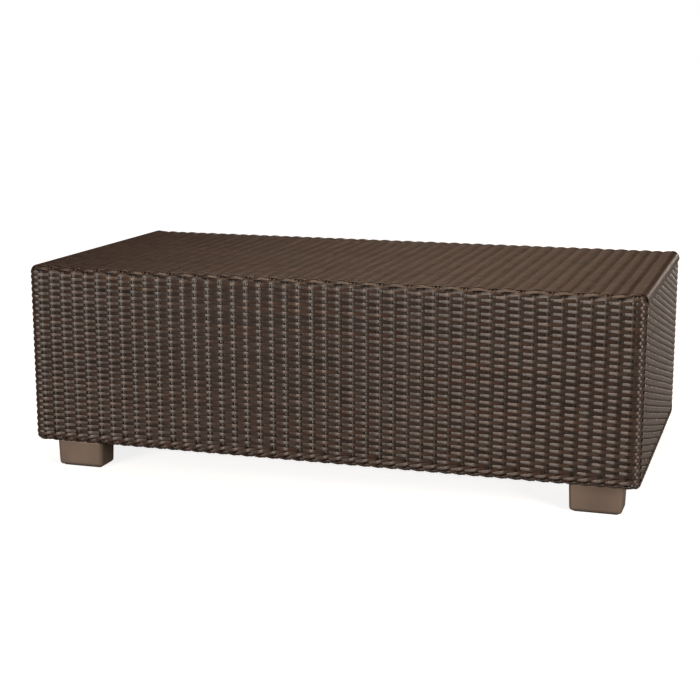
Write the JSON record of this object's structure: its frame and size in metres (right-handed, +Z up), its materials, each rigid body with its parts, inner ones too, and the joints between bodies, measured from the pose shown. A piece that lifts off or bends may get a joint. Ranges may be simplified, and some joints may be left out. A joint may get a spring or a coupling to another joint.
{
  "type": "coffee table",
  "caption": "Low rectangular box coffee table, a tube frame covered all round in woven resin wicker, standing on block feet inset at the corners.",
  "frame": {"origin": "on the floor under the centre of the table", "axes": "+X along the length, +Z up, the front faces -Y"},
  "size_m": [1.22, 0.614, 0.4175],
  "materials": {
    "resin_wicker": "satin woven resin strands, mixed dark brown",
    "resin_border": "satin twisted resin strands, dark brown",
    "frame_paint": "satin dark brown powder coat on aluminium tube",
    "foot_paint": "satin taupe powder coat on aluminium",
    "zinc_steel": "zinc plated",
    "glide_plastic": "matte black moulded plastic"
  },
  "bodies": {
    "root": {"top_rail_front": "frame_paint", "top_rail_back": "frame_paint", "top_rail_left": "frame_paint", "top_rail_right": "frame_paint", "bottom_rail_front": "frame_paint", "bottom_rail_back": "frame_paint", "bottom_rail_left": "frame_paint", "bottom_rail_right": "frame_paint", "post_front_left": "frame_paint", "post_front_right": "frame_paint", "post_back_left": "frame_paint", "post_back_right": "frame_paint", "upright_front_1": "frame_paint", "upright_front_2": "frame_paint", "upright_front_3": "frame_paint", "upright_back_1": "frame_paint", "upright_back_2": "frame_paint", "upright_back_3": "frame_paint", "upright_left_end": "frame_paint", "upright_right_end": "frame_paint", "top_brace_1": "frame_paint", "top_brace_2": "frame_paint", "top_brace_3": "frame_paint", "wicker_front": "resin_wicker", "border_front": "resin_border", "wicker_back": "resin_wicker", "border_back": "resin_border", "wicker_left_end": "resin_wicker", "border_left_end": "resin_border", "wicker_right_end": "resin_wicker", "border_right_end": "resin_border", "wicker_top": "resin_wicker", "foot_front_left": "foot_paint", "foot_plate_front_left": "frame_paint", "foot_glide_front_left": "glide_plastic", "foot_bolt_front_left_1": "zinc_steel", "foot_bolt_front_left_2": "zinc_steel", "foot_front_right": "foot_paint", "foot_plate_front_right": "frame_paint", "foot_glide_front_right": "glide_plastic", "foot_bolt_front_right_1": "zinc_steel", "foot_bolt_front_right_2": "zinc_steel", "foot_back_left": "foot_paint", "foot_plate_back_left": "frame_paint", "foot_glide_back_left": "glide_plastic", "foot_bolt_back_left_1": "zinc_steel", "foot_bolt_back_left_2": "zinc_steel", "foot_back_right": "foot_paint", "foot_plate_back_right": "frame_paint", "foot_glide_back_right": "glide_plastic", "foot_bolt_back_right_1": "zinc_steel", "foot_bolt_back_right_2": "zinc_steel"}
  },
  "joints": []
}
